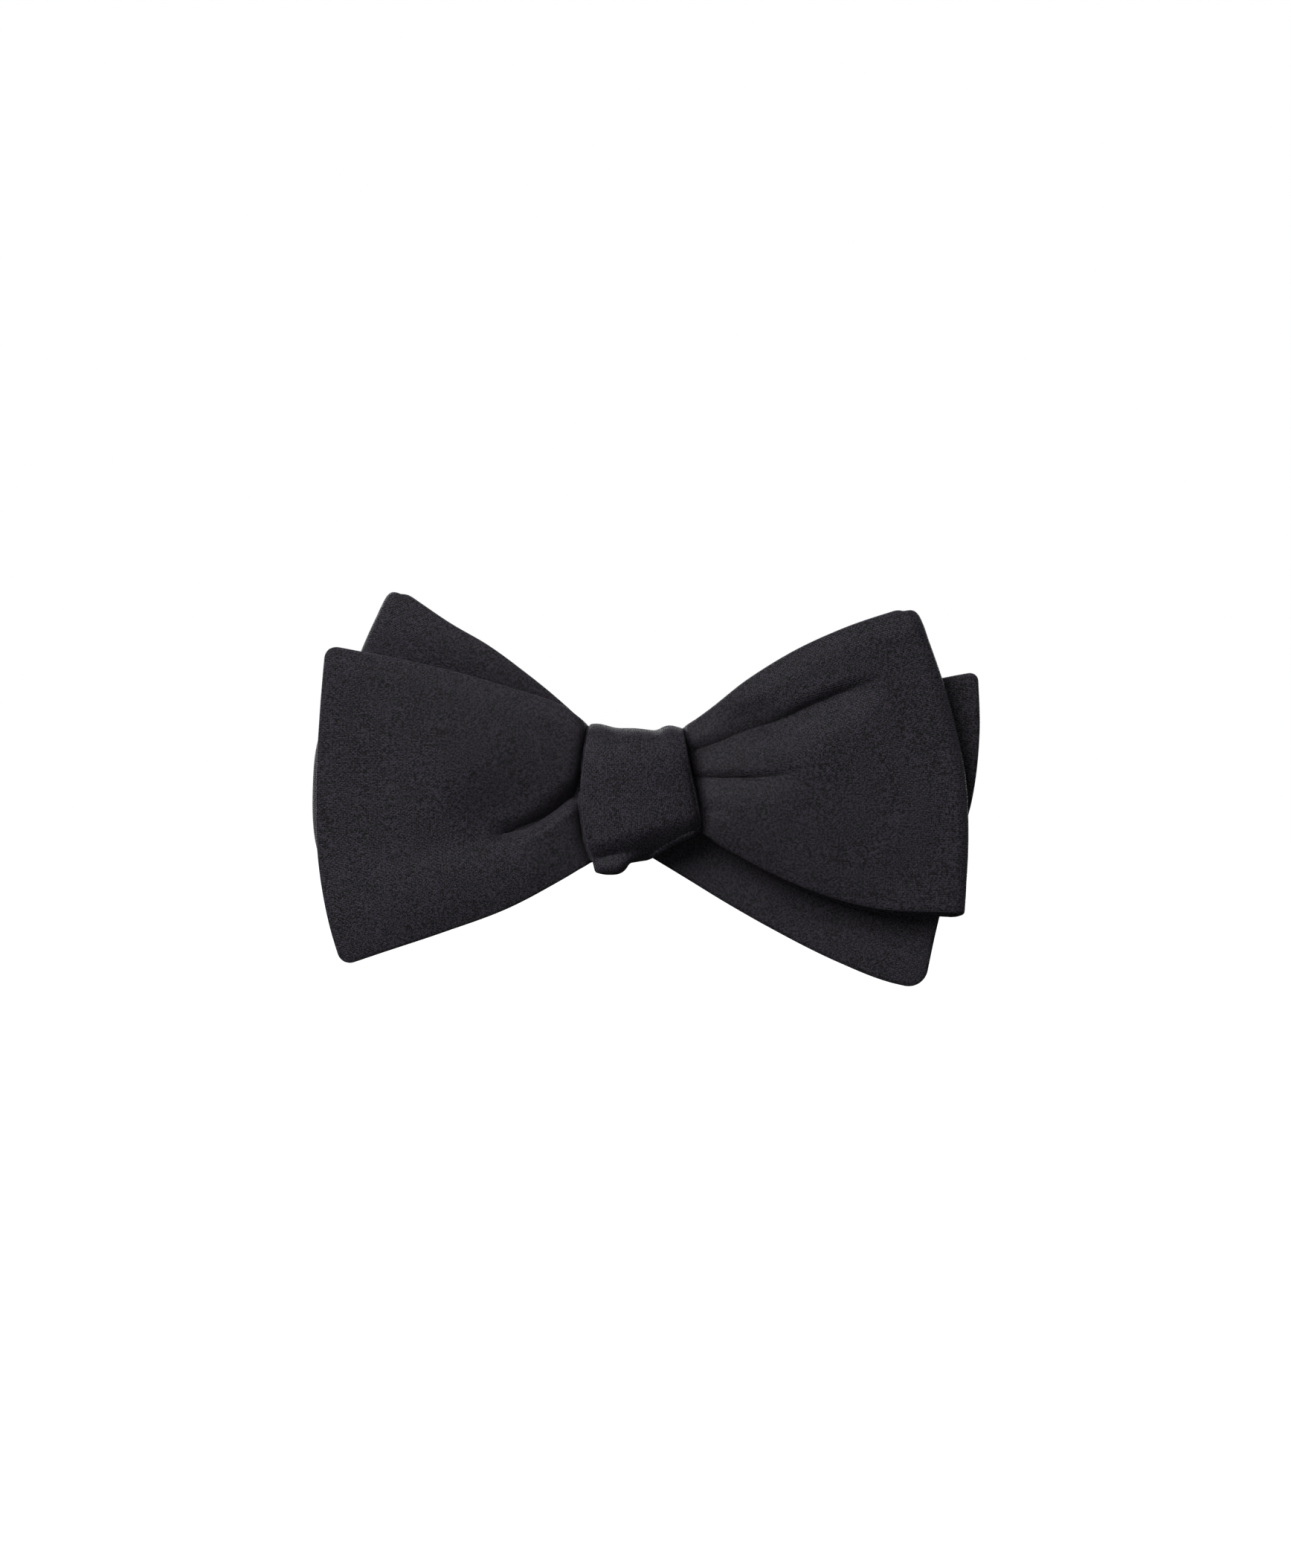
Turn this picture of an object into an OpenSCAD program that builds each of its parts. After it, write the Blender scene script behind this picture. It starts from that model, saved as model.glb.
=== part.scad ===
// Self-tie bow tie, tied and worn: a four-winged bow, its knot, and a
// two-piece adjustable neckband that closes at the back of the neck.
// Millimetres. Origin at the centre of the neck circle, level with the knot.
// +X is the wearer's left (the viewer's right), -Y is the front, +Z is up.

/* [Neckband] */
// Radius of the neck circle, the band's inner face
neck_r = 58; // [52:0.5:66]
// Height of the band
band_h = 18; // [14:0.5:22]
// Thickness of the finished band: two silk faces and an interlining
band_t = 1.4; // [1.1:0.1:1.8]
// Thickness of one silk face of the band
silk_t = 0.4; // [0.25:0.05:0.5]

/* [Bow] */
// Sideways size of the wings, against the standard 122 mm bow
wing_w_scale = 1; // [0.9:0.01:1.06]
// Upright size of the wings, against the standard 2.25 inch bow
wing_h_scale = 1; // [0.85:0.01:1.15]
// Half of the thickness of one wing leaf
leaf_half = 0.8; // [0.6:0.05:0.9]
// How far the middle of a folded wing puffs out
wing_puff = 0.8; // [0:0.1:1.4]
// Depth of the gathers beside the knot
gather = 0.55; // [0:0.05:0.8]

/* [Knot] */
// Half height of the wrap round the middle
knot_half_h = 12.8; // [11:0.1:14]
// Half depth of the wrap, front to back
knot_half_d = 8.6; // [8.2:0.1:9.2]
// Half width of the wrap at its widest
knot_half_w = 10.9; // [9.5:0.1:11]

/* [Clasp] */
// Diameter of the round wire of the slide, hook and eye
wire_d = 1; // [0.8:0.1:1.1]
// Angle round the band to the hook's bar
hook_deg = 80; // [76:0.5:82]
// Angle round the band to the slide
slide_deg = 45; // [42:0.5:48]
// Angle round the band to the eye's bar
eye_deg = 99; // [98:0.5:102]

/* [Quality] */
// Steps along a wing leaf
leaf_steps = 12; // [6:1:14]
// Steps across a wing leaf
cross_steps = 8; // [4:1:10]

/* [Hidden] */
$fn = 96;
eps = 0.02;
root_x = 12.3;
knot_y = -73;
hinge_gap_rear = 1.2;
hinge_gap_front = 0.8;
fold_r = leaf_half * 2;
wire_r = wire_d / 2;
// The rear right strap runs on a circle set 3 mm off centre, so that it lies
// outside the left one where they lap.
lap = 3;
lap_r = neck_r + lap;
turn_r = lap_r + band_t + 0.8;
slide_r = lap_r + band_t + 1.7;
eye_r = neck_r + 1.45;
strap_end_deg = 66.5;
bar_step = 4.2;
rail_in = band_h / 2 + 0.7;
rail_w = 1.2;
rail_over = 0.9;
eye_span = 9.4;
hook_span = 4.6;
silk = [0.15, 0.145, 0.16];
inner_silk = [0.17, 0.165, 0.18];
canvas = [0.82, 0.8, 0.74];
nickel = [0.75, 0.75, 0.77];
thread = [0.1, 0.1, 0.11];
tape = [0.22, 0.22, 0.24];

// ---- Wing outlines: cubic edges as [x, z], knot end first ----

front_left_edges = [
    [[-12.3, 15.6], [-24, 21.5], [-40, 24.6], [-56.5, 27.4]],
    [[-12.3, -13.8], [-24, -20.5], [-40, -26], [-55, -30.6]],
    [[-55, -30.6], [-60, -12], [-60.6, 10], [-56.5, 27.4]]
];
front_right_edges = [
    [[12.3, 15.4], [22, 24.5], [34, 32.6], [50.5, 34.6]],
    [[12.3, -7.3], [25, -14.5], [36, -21.8], [59.3, -21.8]],
    [[59.3, -21.8], [61.2, -4], [60.2, 13], [50.5, 34.6]]
];
front_right_under_edges = [
    [[12.3, 15], [22, 24], [34, 32.1], [50.5, 34.1]],
    [[12.3, -7.8], [25, -15], [36, -22.4], [58.7, -22.6]],
    [[58.7, -22.6], [61.2, -4.4], [60.2, 12.6], [50.5, 34.1]]
];
rear_left_edges = [
    [[-12.3, 15.7], [-21.5, 25.2], [-32.5, 30.8], [-46.2, 37.9]],
    [[-12.3, -8.5], [-25, -12], [-42, -16], [-57.2, -18]],
    [[-57.2, -18], [-65, -1], [-57.5, 18], [-46.2, 37.9]]
];
rear_right_edges = [
    [[12.3, 6], [28, 12], [46, 21], [61.8, 22.6]],
    [[12.3, -16.4], [24, -22.7], [38, -30.2], [51.2, -35]],
    [[51.2, -35], [57, -16], [62.5, 2], [61.8, 22.6]]
];

// A leaf is [edges, y at the knot, y at the tip, puff, gather phase, inset].
front_left_leaf = [front_left_edges, -76, -77.6, -0.5, 40, 0];
front_right_fore = [front_right_edges, -77.6, -78.6, -wing_puff, 200, fold_r];
front_right_aft = [front_right_under_edges, -74.2, -75.4, wing_puff, 200, fold_r];
rear_left_fore = [rear_left_edges, -72, -70.8, -wing_puff, 90, fold_r];
rear_left_aft = [rear_left_edges, -68.6, -67.6, wing_puff, 90, fold_r];
rear_right_leaf = [rear_right_edges, -70.4, -69.6, 0.4, 300, 0];

// ---- Curves and grids ----

function bez(p, t) =
    pow(1 - t, 3) * p[0] + 3 * t * pow(1 - t, 2) * p[1]
    + 3 * t * t * (1 - t) * p[2] + pow(t, 3) * p[3];

function edge_patch(e, u, v) =
    (1 - v) * bez(e[1], u) + v * bez(e[0], u)
    + (1 - u) * ((1 - v) * e[1][0] + v * e[0][0]) + u * bez(e[2], v)
    - (1 - u) * ((1 - v) * e[1][0] + v * e[0][0])
    - u * ((1 - v) * e[1][3] + v * e[0][3]);

function widened(x) =
    sign(x) * (root_x + (abs(x) - root_x) * wing_w_scale);

function leaf_point(leaf, u, v) =
    let (
        p = edge_patch(leaf[0], u, v),
        run = widened(p[0]),
        x = run - sign(run) * leaf[5] * u,
        bulge = leaf[3] * sin(180 * u) * sin(180 * v),
        pleat = gather * pow(1 - u, 2) * sin(720 * v + leaf[4])
    )
    [x, leaf[1] + (leaf[2] - leaf[1]) * u * u + bulge + pleat, p[1] * wing_h_scale];

function leaf_grid(leaf) =
    [for (i = [0:leaf_steps]) [for (j = [0:cross_steps])
        leaf_point(leaf, i / leaf_steps, j / cross_steps)]];

// The turn that joins the tips of two leaves round a folded edge.
function fold_rows(fore, aft) =
    [for (k = [1:3]) [for (j = [0:cross_steps])
        let (
            f = leaf_point(fore, 1, j / cross_steps),
            a = leaf_point(aft, 1, j / cross_steps),
            mid = (f + a) / 2,
            out = [sign(f[0]) * fold_r, 0, 0]
        )
        mid + (f - mid) * cos(45 * k) + out * sin(45 * k)]];

function reversed(rows) =
    [for (i = [len(rows) - 1:-1:0]) rows[i]];

function folded_grid(fore, aft) =
    concat(leaf_grid(fore), fold_rows(fore, aft), reversed(leaf_grid(aft)));

function unit(p) = p / norm(p);

function sheet_normal(g, i, j) =
    let (
        n = len(g) - 1,
        m = len(g[0]) - 1,
        along = g[min(i + 1, n)][j] - g[max(i - 1, 0)][j],
        across = g[i][min(j + 1, m)] - g[i][max(j - 1, 0)]
    )
    unit(cross(along, across));

function shifted(g, d) =
    [for (i = [0:len(g) - 1]) for (j = [0:len(g[0]) - 1])
        g[i][j] + d * sheet_normal(g, i, j)];

// A sheet of cloth: the grid's surface, from offset lo to offset hi.
module sheet(g, lo, hi) {
    n = len(g) - 1;
    m = len(g[0]) - 1;
    w = m + 1;
    q = (n + 1) * w;
    over = [for (i = [0:n - 1]) for (j = [0:m - 1]) for (k = [0:1])
        let (a = i * w + j)
        k == 0 ? [a, a + 1, a + w] : [a + 1, a + w + 1, a + w]];
    under = [for (f = over) [f[2] + q, f[1] + q, f[0] + q]];
    rim = concat(
        [for (j = [0:m - 1]) [j, j + 1]],
        [for (i = [0:n - 1]) [i * w + m, (i + 1) * w + m]],
        [for (j = [m:-1:1]) [n * w + j, n * w + j - 1]],
        [for (i = [n:-1:1]) [i * w, (i - 1) * w]]
    );
    sides = [for (r = rim) for (k = [0:1])
        k == 0 ? [r[1], r[0], r[0] + q] : [r[1], r[0] + q, r[1] + q]];
    polyhedron(concat(shifted(g, hi), shifted(g, lo)), concat(over, under, sides));
}

// ---- Knot ----

function bowed(a, power) = sign(a) * pow(abs(a), power);

function wrap_half_w(z, side) =
    side < 0
        ? knot_half_w - 2.2 * pow(z / 13, 2)
        : knot_half_w - 0.3 - 2.8 * pow((z + 1) / 13, 2);

function wrap_point(deg, s) =
    let (
        front = cos(deg),
        z = knot_half_h * bowed(sin(deg), 0.72) - 0.3,
        w = wrap_half_w(z, s),
        crown = 0.9 * front * (1 - s * s),
        ripple = 0.25 * max(front, 0) * cos(540 * s + 60)
    )
    [s * w, knot_y - (knot_half_d - 0.9) * bowed(front, 0.72) - crown - ripple, z];

wrap_grid = [for (i = [0:24]) [for (j = [0:8])
    wrap_point(-162 + 13.5 * i, j / 4 - 1)]];

module knot_wrap_silk() {
    color(silk) sheet(wrap_grid, -0.75, -0.3 - eps);
}

module knot_wrap_interlining() {
    color(canvas) sheet(wrap_grid, -0.3, 0.3);
}

module knot_wrap_lining() {
    color(inner_silk) sheet(wrap_grid, 0.3 + eps, 0.75);
}

// A blade's narrow waist, gathered into upright pleats inside the wrap.
function waist_grid(y, deep) =
    [for (i = [0:2]) [for (j = [0:30])
        [(i - 1) * (root_x - 1.5), y + deep * sin(j * 36), (j / 15 - 1) * 8.6]]];

module front_waist() {
    color(silk) sheet(waist_grid(-76.2, 1.9), -0.5, 0.5);
}

module rear_waist() {
    color(silk) sheet(waist_grid(-69.8, 1.9), -0.5, 0.5);
}

// The two band ends cross behind the knot before they rise into it.
function crossing_grid(side, y0, y1, z1) =
    [for (i = [0:8]) [for (j = [0:4])
        let (
            t = i / 8,
            half = band_h / 2 * (1 - t) + 4.6 * t,
            ease = t * t * (3 - 2 * t)
        )
        [side * (7.9 - 14 * t), y0 + (y1 - y0) * ease, z1 * ease + half * (j / 2 - 1)]]];

module band_crossing_under() {
    color(silk) sheet(crossing_grid(1, -neck_r - 0.9, -neck_r - 1.5, 4.5), -0.55, 0.55);
}

module band_crossing_over() {
    color(silk) sheet(crossing_grid(-1, -neck_r - 2.8, -neck_r - 3.9, -4.5), -0.55, 0.55);
}

// ---- Wings ----

module leaf_layer(g, lo, hi, tint) {
    color(tint) sheet(g, lo, hi);
}

module front_left_face() {
    leaf_layer(leaf_grid(front_left_leaf), -leaf_half, -0.3 - eps, silk);
}

module front_left_interlining() {
    leaf_layer(leaf_grid(front_left_leaf), -0.3, 0.3, canvas);
}

module front_left_back() {
    leaf_layer(leaf_grid(front_left_leaf), 0.3 + eps, leaf_half, silk);
}

module front_right_outer() {
    leaf_layer(folded_grid(front_right_fore, front_right_aft), 0.3 + eps, leaf_half, silk);
}

module front_right_interlining() {
    leaf_layer(folded_grid(front_right_fore, front_right_aft), -0.3, 0.3, canvas);
}

module front_right_inner() {
    leaf_layer(folded_grid(front_right_fore, front_right_aft), -leaf_half, -0.3 - eps, silk);
}

module rear_left_outer() {
    leaf_layer(folded_grid(rear_left_fore, rear_left_aft), -leaf_half, -0.3 - eps, silk);
}

module rear_left_interlining() {
    leaf_layer(folded_grid(rear_left_fore, rear_left_aft), -0.3, 0.3, canvas);
}

module rear_left_inner() {
    leaf_layer(folded_grid(rear_left_fore, rear_left_aft), 0.3 + eps, leaf_half, silk);
}

module rear_right_face() {
    leaf_layer(leaf_grid(rear_right_leaf), 0.3 + eps, leaf_half, silk);
}

module rear_right_interlining() {
    leaf_layer(leaf_grid(rear_right_leaf), -0.3, 0.3, canvas);
}

module rear_right_back() {
    leaf_layer(leaf_grid(rear_right_leaf), -leaf_half, -0.3 - eps, silk);
}

// ---- Neckband ----

module arc_block(r0, r1, h, from, to) {
    rotate([0, 0, from]) rotate_extrude(angle = to - from, $fn = 180)
        translate([r0, -h / 2]) square([r1 - r0, h]);
}

// A tube of silk, pressed flat and curved round the neck.
module band_casing(r, from, to) {
    rotate([0, 0, from]) rotate_extrude(angle = to - from, $fn = 180)
        difference() {
            translate([r, -band_h / 2]) square([band_t, band_h]);
            translate([r + silk_t, -band_h / 2 + silk_t])
                square([band_t - 2 * silk_t, band_h - 2 * silk_t]);
        }
}

module band_core(r, from, to) {
    arc_block(r + silk_t + eps, r + band_t - silk_t - eps, band_h - 2 * silk_t - 0.4, from, to);
}

module off_centre() {
    translate([-lap, 0, 0]) children();
}

front_from = -asin(hinge_gap_front / neck_r);
rear_from = asin(hinge_gap_rear / neck_r);

module band_front_right() {
    color(silk) band_casing(neck_r, -82, front_from);
}

module band_front_right_interlining() {
    color(canvas) band_core(neck_r, -82, front_from);
}

module band_front_left() {
    color(silk) band_casing(neck_r, 180 - front_from, 262);
}

module band_front_left_interlining() {
    color(canvas) band_core(neck_r, 180 - front_from, 262);
}

module band_rear_right() {
    color(silk) off_centre() band_casing(lap_r, rear_from, strap_end_deg);
}

module band_rear_right_interlining() {
    color(canvas) off_centre() band_core(lap_r, rear_from, strap_end_deg);
}

module band_rear_left() {
    color(silk) band_casing(neck_r, eye_deg + 1.6, 180 - rear_from);
}

module band_rear_left_interlining() {
    color(canvas) band_core(neck_r, eye_deg + 1.6, 180 - rear_from);
}

// A strap's end, turned round a wire and laid back.
module wire_sleeve(r, deg, h, inner, outer) {
    rotate([0, 0, deg]) translate([r, 0, -h / 2]) difference() {
        cylinder(r = outer, h = h, $fn = 48);
        translate([0, 0, -1]) cylinder(r = inner, h = h + 2, $fn = 48);
    }
}

module wire_bar(r, deg, reach) {
    rotate([0, 0, deg]) translate([r, 0, -reach]) cylinder(r = wire_r, h = 2 * reach, $fn = 32);
}

// Flat rails, a little thicker than the wire, that take the bars' ends.
module side_rails(r, from, to) {
    for (z = [-rail_in - rail_w, rail_in])
        rotate([0, 0, from]) rotate_extrude(angle = to - from, $fn = 180)
            translate([r - wire_r - 0.1, z]) square([wire_d + 0.2, rail_w]);
}

module eye_loop() {
    color(silk) wire_sleeve(eye_r, eye_deg, band_h, 0.8, 1.4);
}

module eye_loop_tail() {
    color(silk) arc_block(eye_r + 0.8, eye_r + 1.36, band_h, eye_deg + 1.5, eye_deg + 12);
}

module eye_bartack() {
    color(thread) arc_block(eye_r + 1.4, eye_r + 1.6, band_h - 3, eye_deg + 2.6, eye_deg + 3.8);
}

module label() {
    color(tape) arc_block(neck_r + band_t + eps, neck_r + band_t + 0.3, band_h - 5, 124, 150);
}

module eye() {
    color(nickel) {
        for (deg = [eye_deg - eye_span, eye_deg])
            wire_bar(eye_r, deg, rail_in + rail_w / 2);
        side_rails(eye_r, eye_deg - eye_span - rail_over, eye_deg + rail_over);
    }
}

// ---- Adjuster: hook, running leaf and three-bar slide ----

module hook_loop() {
    color(silk) off_centre() rotate([0, 0, hook_deg]) translate([turn_r, 0, -band_h / 2])
        intersection() {
            difference() {
                cylinder(r = 0.8 + band_t, h = band_h, $fn = 64);
                translate([0, 0, -1]) cylinder(r = 0.8, h = band_h + 2, $fn = 64);
            }
            translate([-5, 0, -1]) cube([10, 5, band_h + 2]);
        }
}

module hook_leaf() {
    color(silk) off_centre() arc_block(lap_r, lap_r + band_t, band_h, strap_end_deg + 0.1, hook_deg - 0.05);
}

// The hook's tongue in plan: along from the cross wire, round and back under.
function arc_points(cx, r, from, to) =
    [for (k = [0:10]) let (a = from + (to - from) * k / 10) [cx + r * cos(a), r * sin(a)]];

module tongue_profile(reach, gap, thick) {
    bend = gap / 2;
    polygon(concat(
        [[bend, -reach], [bend + thick, -reach]],
        arc_points(0, bend + thick, 0, 180),
        [[-bend - thick, -reach * 0.45], [-bend, -reach * 0.45]],
        arc_points(0, bend, 180, 0)
    ));
}

module hook() {
    color(nickel) off_centre() {
        for (deg = [hook_deg, hook_deg + hook_span])
            wire_bar(turn_r, deg, rail_in + rail_w / 2);
        side_rails(turn_r, hook_deg - rail_over, hook_deg + hook_span + rail_over);
        rotate([0, 0, hook_deg + hook_span + 5]) translate([turn_r - 0.5, 0, -4.5])
            linear_extrude(height = 9) tongue_profile(5.6, 1.2, 0.8);
    }
}

module slide() {
    color(nickel) off_centre() {
        for (k = [-1:1])
            wire_bar(slide_r, slide_deg + k * bar_step, rail_in + rail_w / 2);
        side_rails(slide_r, slide_deg - bar_step - rail_over, slide_deg + bar_step + rail_over);
    }
}

module slide_loop() {
    color(silk) off_centre()
        wire_sleeve(slide_r, slide_deg + bar_step, band_h, wire_r + 0.02, wire_r + 0.75);
}

// The running strap's wave over the middle bar, which travels with the slide.
crest_grid = [for (i = [0:12]) [for (j = [0:2])
    let (
        deg = slide_deg + (i - 6) * 0.42,
        r = slide_r - 0.9 + 2.1 * pow(cos((i - 6) * 15), 2)
    )
    [r * cos(deg) - lap, r * sin(deg), (j - 1) * band_h / 2]]];

module slide_crest() {
    color(silk) sheet(crest_grid, -0.3, 0.3);
}

module return_leaf() {
    color(silk) off_centre()
        arc_block(turn_r + 0.8, turn_r + 0.8 + band_t, band_h, slide_deg + bar_step + 1.4, hook_deg - 0.05);
}

module slide_bartack() {
    color(thread) off_centre() arc_block(
        turn_r + 0.8 + band_t + eps, turn_r + 1 + band_t, band_h - 3,
        slide_deg + bar_step + 2.4, slide_deg + bar_step + 3.5
    );
}

knot_wrap_silk();
knot_wrap_interlining();
knot_wrap_lining();
front_waist();
rear_waist();
band_crossing_under();
band_crossing_over();
front_left_face();
front_left_interlining();
front_left_back();
front_right_outer();
front_right_interlining();
front_right_inner();
rear_left_outer();
rear_left_interlining();
rear_left_inner();
rear_right_face();
rear_right_interlining();
rear_right_back();
band_front_right();
band_front_right_interlining();
band_front_left();
band_front_left_interlining();
band_rear_right();
band_rear_right_interlining();
band_rear_left();
band_rear_left_interlining();
eye_loop();
eye_loop_tail();
eye_bartack();
label();
eye();
hook_loop();
hook_leaf();
hook();
slide();
slide_loop();
slide_crest();
return_leaf();
slide_bartack();
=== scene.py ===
"""Self-tie bow tie in black silk: wings, knot and neckband as cloth, with its hook, eye and slide."""

import math

import bpy
import numpy as np
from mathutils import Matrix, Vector

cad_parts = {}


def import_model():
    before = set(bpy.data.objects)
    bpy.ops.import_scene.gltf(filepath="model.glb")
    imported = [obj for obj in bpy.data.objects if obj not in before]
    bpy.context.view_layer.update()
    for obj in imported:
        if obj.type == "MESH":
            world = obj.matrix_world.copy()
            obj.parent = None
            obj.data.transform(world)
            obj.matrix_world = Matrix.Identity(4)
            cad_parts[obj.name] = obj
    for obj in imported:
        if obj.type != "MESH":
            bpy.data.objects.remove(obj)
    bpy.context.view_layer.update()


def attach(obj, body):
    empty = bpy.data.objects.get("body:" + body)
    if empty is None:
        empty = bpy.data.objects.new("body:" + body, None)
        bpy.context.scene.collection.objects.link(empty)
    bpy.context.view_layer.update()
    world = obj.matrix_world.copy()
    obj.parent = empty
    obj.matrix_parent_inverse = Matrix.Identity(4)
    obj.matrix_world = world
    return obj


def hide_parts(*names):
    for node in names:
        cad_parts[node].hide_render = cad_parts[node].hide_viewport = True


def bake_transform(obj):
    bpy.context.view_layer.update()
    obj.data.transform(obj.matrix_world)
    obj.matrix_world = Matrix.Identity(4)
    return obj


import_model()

MM = 0.001

# ---- Sizes in mm and angles in degrees, shared with the frame ----

NECK_R = 58.0
BAND_H = 18.0
BAND_T = 1.4
LAP = 3.0
LAP_R = NECK_R + LAP
TURN_R = LAP_R + BAND_T + 0.8
SLIDE_R = LAP_R + BAND_T + 1.7
EYE_R = NECK_R + 1.45
HOOK_DEG = 80.0
SLIDE_DEG = 45.0
EYE_DEG = 99.0
BAR_STEP = 4.2
EYE_SPAN = 9.4
HOOK_SPAN = 4.6
STRAP_END_DEG = 66.5
RAIL_Z = BAND_H / 2 + 1.3
MID_R = NECK_R + BAND_T / 2
LAP_MID_R = LAP_R + BAND_T / 2
LEAF_HALF = 0.62
FOLD_R = 1.6

# ---- Small maths ----


def smoothstep(lo, hi, x):
    """0 at lo and 1 at hi, with a soft start and end. lo may be the larger."""
    t = np.clip((np.asarray(x, float) - lo) / (hi - lo), 0, 1)
    return t * t * (3 - 2 * t)


def smooth_path(points, t):
    """Points at the fractions t along a smooth curve through the given points, by chord length."""
    p = np.asarray(points, float)
    s = np.concatenate([[0], np.cumsum(np.linalg.norm(np.diff(p, axis=0), axis=1))])
    s = s / s[-1]
    slope = np.gradient(p, s, axis=0)
    t = np.clip(np.asarray(t, float), 0, 1)
    k = np.clip(np.searchsorted(s, t, side="right") - 1, 0, len(s) - 2)
    h = (s[k + 1] - s[k])[..., None]
    u = ((t - s[k]) / (s[k + 1] - s[k]))[..., None]
    return (
        (2 * u**3 - 3 * u**2 + 1) * p[k]
        + (u**3 - 2 * u**2 + u) * h * slope[k]
        + (3 * u**2 - 2 * u**3) * p[k + 1]
        + (u**3 - u**2) * h * slope[k + 1]
    )


def unit(v):
    """Vectors made one long."""
    return v / np.maximum(np.linalg.norm(v, axis=-1, keepdims=True), 1e-9)


def fine_ends(length, step, ends=(0.0, 0.12, 0.3, 0.55, 0.85, 1.25, 1.75), both=True):
    """Fractions from 0 to 1 along a length in mm, in even steps.

    The steps are closer together towards the far end, or towards both ends."""
    ends = np.array(ends)
    inner_from = ends[-1] if both else 0.0
    count = max(2, int(round((length - inner_from - ends[-1]) / step)))
    inner = np.linspace(inner_from, length - ends[-1], count + 1)
    tail = length - ends[::-1][1:]
    head = ends[:-1] if both else []
    return np.concatenate([head, inner, tail]) / length


# ---- Mesh making ----


def mesh_object(name, verts, faces, material, weave=None):
    """A smooth mesh object from points in mm. weave holds each vertex's place on the cloth, in mm."""
    mesh = bpy.data.meshes.new(name)
    mesh.from_pydata([tuple(v) for v in np.asarray(verts) * MM], [], faces)
    if weave is not None:
        layer = mesh.uv_layers.new(name="weave")
        corner = np.zeros(len(mesh.loops), int)
        mesh.loops.foreach_get("vertex_index", corner)
        layer.data.foreach_set("uv", (np.asarray(weave)[corner] * MM).astype(np.float32).ravel())
    mesh.materials.append(material)
    mesh.validate()
    mesh.shade_smooth()
    obj = bpy.data.objects.new(name, mesh)
    bpy.context.scene.collection.objects.link(obj)
    return obj


def grid_normals(mid):
    """A unit normal at each point of a grid of points."""
    along = np.gradient(mid, axis=0)
    across = np.gradient(mid, axis=1)
    return unit(np.cross(along, across))


def cloth_arrays(mid, half, weave):
    """A closed skin round a middle surface. Where half is 0 the two faces share their edge."""
    n, m = half.shape
    normal = grid_normals(mid)
    front = (mid + normal * half[..., None]).reshape(-1, 3)
    back = (mid - normal * half[..., None]).reshape(-1, 3)
    open_edge = half.ravel() > 1e-6
    front_id = np.arange(n * m)
    back_id = front_id.copy()
    back_id[open_edge] = n * m + np.arange(open_edge.sum())
    verts = np.concatenate([front, back[open_edge]])
    cloth = np.concatenate([weave.reshape(-1, 2), weave.reshape(-1, 2)[open_edge]])
    faces = []

    def add(*ids):
        ring = [int(v) for k, v in enumerate(ids) if v != ids[k - 1]]
        if len(set(ring)) > 2:
            faces.append(ring)

    for i in range(n - 1):
        for j in range(m - 1):
            a, b, c, d = i * m + j, (i + 1) * m + j, (i + 1) * m + j + 1, i * m + j + 1
            add(front_id[a], front_id[b], front_id[c], front_id[d])
            add(back_id[d], back_id[c], back_id[b], back_id[a])
    rim = list(range(m)) + [i * m + m - 1 for i in range(1, n)]
    rim += [(n - 1) * m + j for j in range(m - 2, -1, -1)] + [i * m for i in range(n - 2, 0, -1)]
    for a, b in zip(rim, rim[1:] + rim[:1]):
        add(front_id[a], front_id[b], back_id[b], back_id[a])
    return verts, faces, cloth


def cloth_object(name, mid, half, weave, material):
    """A cloth of half thickness half round a middle surface, in mm."""
    verts, faces, cloth = cloth_arrays(mid, half, weave)
    return mesh_object(name, verts, faces, material, cloth)


def run_along(points):
    """How far along a line each of its points is."""
    return np.concatenate([[0], np.cumsum(np.linalg.norm(np.diff(points, axis=0), axis=1))])


def weave_grid(along, across):
    """Each grid point's place on the cloth."""
    return np.stack(np.broadcast_arrays(along[:, None], across[None, :]), -1)


def round_profile(distance, radius):
    """From 0 at an edge to 1 at radius from it, as a quarter circle rises."""
    return np.sqrt(np.clip(1 - (1 - np.clip(distance / radius, 0, 1)) ** 2, 0, 1))


def tube_object(name, path, radius, material, closed=False, sides=12, centre=(0, 0)):
    """A wire along a path that bends round centre."""
    p = np.asarray(path, float)
    if closed:
        tangent = unit(np.roll(p, -1, axis=0) - np.roll(p, 1, axis=0))
    else:
        tangent = unit(np.gradient(p, axis=0))
    out = p - np.array([centre[0], centre[1], 0])
    out[:, 2] = 0
    out = unit(out - tangent * np.sum(out * tangent, axis=1, keepdims=True))
    side = np.cross(tangent, out)
    turn = np.arange(sides) * 2 * math.pi / sides
    ring = (
        out[:, None, :] * (np.cos(turn) * radius)[None, :, None]
        + side[:, None, :] * (np.sin(turn) * radius)[None, :, None]
    )
    verts = (p[:, None, :] + ring).reshape(-1, 3)
    count = len(p)
    faces = []
    for i in range(count if closed else count - 1):
        for k in range(sides):
            a, b = i * sides + k, i * sides + (k + 1) % sides
            c, d = ((i + 1) % count) * sides + (k + 1) % sides, ((i + 1) % count) * sides + k
            faces.append([a, b, c, d])
    if not closed:
        faces.append(list(range(sides))[::-1])
        faces.append([(count - 1) * sides + k for k in range(sides)])
    return mesh_object(name, verts, faces, material)


# ---- Materials ----


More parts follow.
